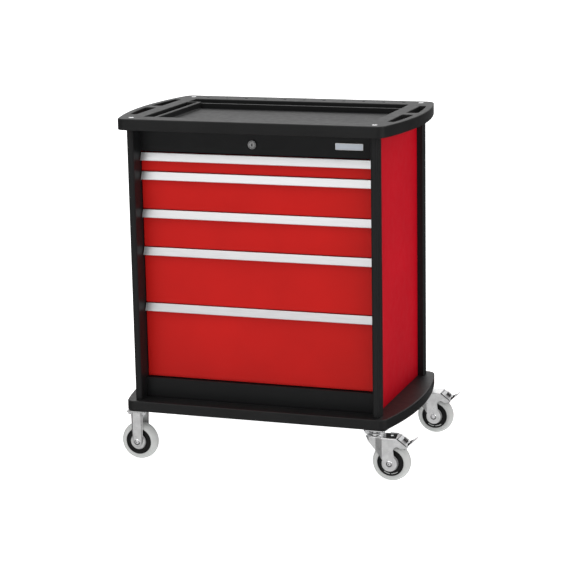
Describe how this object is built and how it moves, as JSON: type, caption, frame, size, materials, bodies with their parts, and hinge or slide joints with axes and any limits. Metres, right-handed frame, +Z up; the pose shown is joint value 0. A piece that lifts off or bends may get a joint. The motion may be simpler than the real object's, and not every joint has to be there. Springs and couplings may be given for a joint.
{
  "type": "tool cart",
  "caption": "Roller tool cabinet with full-width drawers behind slanted lip handles, a winged tray top, a central lock and casters, braked at one end.",
  "frame": {"origin": "on the floor under the middle of the whole cart's box", "axes": "+X to the cart's right as seen from the drawers, towards the braked swivel casters; +Y from the drawers to the back; +Z up"},
  "size_m": [0.822, 0.497, 0.913],
  "materials": {
    "black_plastic": "moulded with a fine leather-like grain",
    "black_profile": "satin black powder coat on an aluminium profile",
    "black_paint": "satin black powder coat on sheet steel",
    "drawer_red": "smooth satin red powder coat",
    "panel_red": "smooth satin crimson powder coat",
    "handle_aluminium": "satin anodised",
    "zinc_steel": "bright zinc plate",
    "caster_steel": "bright zinc plate",
    "axle_steel": "bright plated",
    "chrome": "satin chrome",
    "plate_metal": "brushed, cool tinted",
    "tyre_grey": "light grey non-marking rubber",
    "rim_black": "moulded"
  },
  "bodies": {
    "cabinet": {"top_tray": "black_plastic", "top_deck": "zinc_steel", "base_tray": "black_plastic", "chassis_pan": "zinc_steel", "post_front_left": "black_profile", "post_front_right": "black_profile", "post_rear_left": "black_profile", "post_rear_right": "black_profile", "side_panel_left": "panel_red", "side_panel_right": "panel_red", "rear_panel": "panel_red", "plinth_panel": "black_paint", "lock_fascia": "black_paint", "nameplate": "plate_metal", "runner_wall_left": "zinc_steel", "runner_wall_right": "zinc_steel", "lock_housing": "chrome", "fixed_fork_front": "caster_steel", "fixed_fork_rear": "caster_steel", "axle_front_left": "axle_steel", "axle_rear_left": "axle_steel", "swivel_plate_front": "caster_steel", "swivel_plate_rear": "caster_steel"},
    "lock_cylinder": {"lock_plug": "chrome", "lock_rod": "zinc_steel"},
    "lock_bar": {"lock_bar": "zinc_steel"},
    "drawer_1": {"drawer_1": "drawer_red", "handle_1": "handle_aluminium"},
    "slides_1": {"middle_rail_left_1": "zinc_steel", "middle_rail_right_1": "zinc_steel"},
    "drawer_2": {"drawer_2": "drawer_red", "handle_2": "handle_aluminium"},
    "slides_2": {"middle_rail_left_2": "zinc_steel", "middle_rail_right_2": "zinc_steel"},
    "drawer_3": {"drawer_3": "drawer_red", "handle_3": "handle_aluminium"},
    "slides_3": {"middle_rail_left_3": "zinc_steel", "middle_rail_right_3": "zinc_steel"},
    "drawer_4": {"drawer_4": "drawer_red", "handle_4": "handle_aluminium"},
    "slides_4": {"middle_rail_left_4": "zinc_steel", "middle_rail_right_4": "zinc_steel"},
    "drawer_5": {"drawer_5": "drawer_red", "handle_5": "handle_aluminium"},
    "slides_5": {"middle_rail_left_5": "zinc_steel", "middle_rail_right_5": "zinc_steel"},
    "wheel_front_left": {"tyre_front_left": "tyre_grey", "rim_front_left": "rim_black"},
    "wheel_front_right": {"tyre_front_right": "tyre_grey", "rim_front_right": "rim_black"},
    "swivel_front": {"swivel_fork_front": "caster_steel", "axle_front_right": "axle_steel"},
    "pedal_front": {"brake_pedal_front": "caster_steel"},
    "wheel_rear_left": {"tyre_rear_left": "tyre_grey", "rim_rear_left": "rim_black"},
    "wheel_rear_right": {"tyre_rear_right": "tyre_grey", "rim_rear_right": "rim_black"},
    "swivel_rear": {"swivel_fork_rear": "caster_steel", "axle_rear_right": "axle_steel"},
    "pedal_rear": {"brake_pedal_rear": "caster_steel"}
  },
  "joints": [
    {"name": "drawer_1_slide", "type": "slide", "parent": "cabinet", "child": "drawer_1", "axis": [0, -1, 0], "range_m": [0, 0.34]},
    {"name": "slides_1_follow", "type": "slide", "parent": "cabinet", "child": "slides_1", "axis": [0, -1, 0], "range_m": [0, 0.17]},
    {"name": "drawer_2_slide", "type": "slide", "parent": "cabinet", "child": "drawer_2", "axis": [0, -1, 0], "range_m": [0, 0.34]},
    {"name": "slides_2_follow", "type": "slide", "parent": "cabinet", "child": "slides_2", "axis": [0, -1, 0], "range_m": [0, 0.17]},
    {"name": "drawer_3_slide", "type": "slide", "parent": "cabinet", "child": "drawer_3", "axis": [0, -1, 0], "range_m": [0, 0.34]},
    {"name": "slides_3_follow", "type": "slide", "parent": "cabinet", "child": "slides_3", "axis": [0, -1, 0], "range_m": [0, 0.17]},
    {"name": "drawer_4_slide", "type": "slide", "parent": "cabinet", "child": "drawer_4", "axis": [0, -1, 0], "range_m": [0, 0.34]},
    {"name": "slides_4_follow", "type": "slide", "parent": "cabinet", "child": "slides_4", "axis": [0, -1, 0], "range_m": [0, 0.17]},
    {"name": "drawer_5_slide", "type": "slide", "parent": "cabinet", "child": "drawer_5", "axis": [0, -1, 0], "range_m": [0, 0.34]},
    {"name": "slides_5_follow", "type": "slide", "parent": "cabinet", "child": "slides_5", "axis": [0, -1, 0], "range_m": [0, 0.17]},
    {"name": "lock_turn", "type": "hinge", "parent": "cabinet", "child": "lock_cylinder", "pos_m": [-0.032, -0.1825, 0.847], "axis": [0, 1, 0], "range_deg": [0, 90]},
    {"name": "lock_bar_drop", "type": "slide", "parent": "cabinet", "child": "lock_bar", "axis": [0, 0, -1], "range_m": [0, 0.0065]},
    {"name": "wheel_front_left_roll", "type": "hinge", "parent": "cabinet", "child": "wheel_front_left", "pos_m": [-0.353, -0.219, 0.05], "axis": [0, 1, 0], "continuous": true},
    {"name": "swivel_front_turn", "type": "hinge", "parent": "cabinet", "child": "swivel_front", "pos_m": [0.302, -0.219, 0.12], "axis": [0, 0, 1], "continuous": true},
    {"name": "wheel_front_right_roll", "type": "hinge", "parent": "swivel_front", "child": "wheel_front_right", "pos_m": [0.342, -0.219, 0.05], "axis": [0, 1, 0], "continuous": true},
    {"name": "pedal_front_press", "type": "hinge", "parent": "swivel_front", "child": "pedal_front", "pos_m": [0.38, -0.219, 0.098], "axis": [0, 1, 0], "range_deg": [0, 10]},
    {"name": "wheel_rear_left_roll", "type": "hinge", "parent": "cabinet", "child": "wheel_rear_left", "pos_m": [-0.353, 0.219, 0.05], "axis": [0, 1, 0], "continuous": true},
    {"name": "swivel_rear_turn", "type": "hinge", "parent": "cabinet", "child": "swivel_rear", "pos_m": [0.302, 0.219, 0.12], "axis": [0, 0, 1], "continuous": true},
    {"name": "wheel_rear_right_roll", "type": "hinge", "parent": "swivel_rear", "child": "wheel_rear_right", "pos_m": [0.342, 0.219, 0.05], "axis": [0, 1, 0], "continuous": true},
    {"name": "pedal_rear_press", "type": "hinge", "parent": "swivel_rear", "child": "pedal_rear", "pos_m": [0.38, 0.219, 0.098], "axis": [0, 1, 0], "range_deg": [0, 10]}
  ],
  "couplings": [
    {"joint": "slides_1_follow", "follows": "drawer_1_slide", "ratio": 0.5},
    {"joint": "slides_2_follow", "follows": "drawer_2_slide", "ratio": 0.5},
    {"joint": "slides_3_follow", "follows": "drawer_3_slide", "ratio": 0.5},
    {"joint": "slides_4_follow", "follows": "drawer_4_slide", "ratio": 0.5},
    {"joint": "slides_5_follow", "follows": "drawer_5_slide", "ratio": 0.5},
    {"joint": "lock_turn", "follows": "lock_bar_drop", "rad_per_m": 241.6}
  ]
}
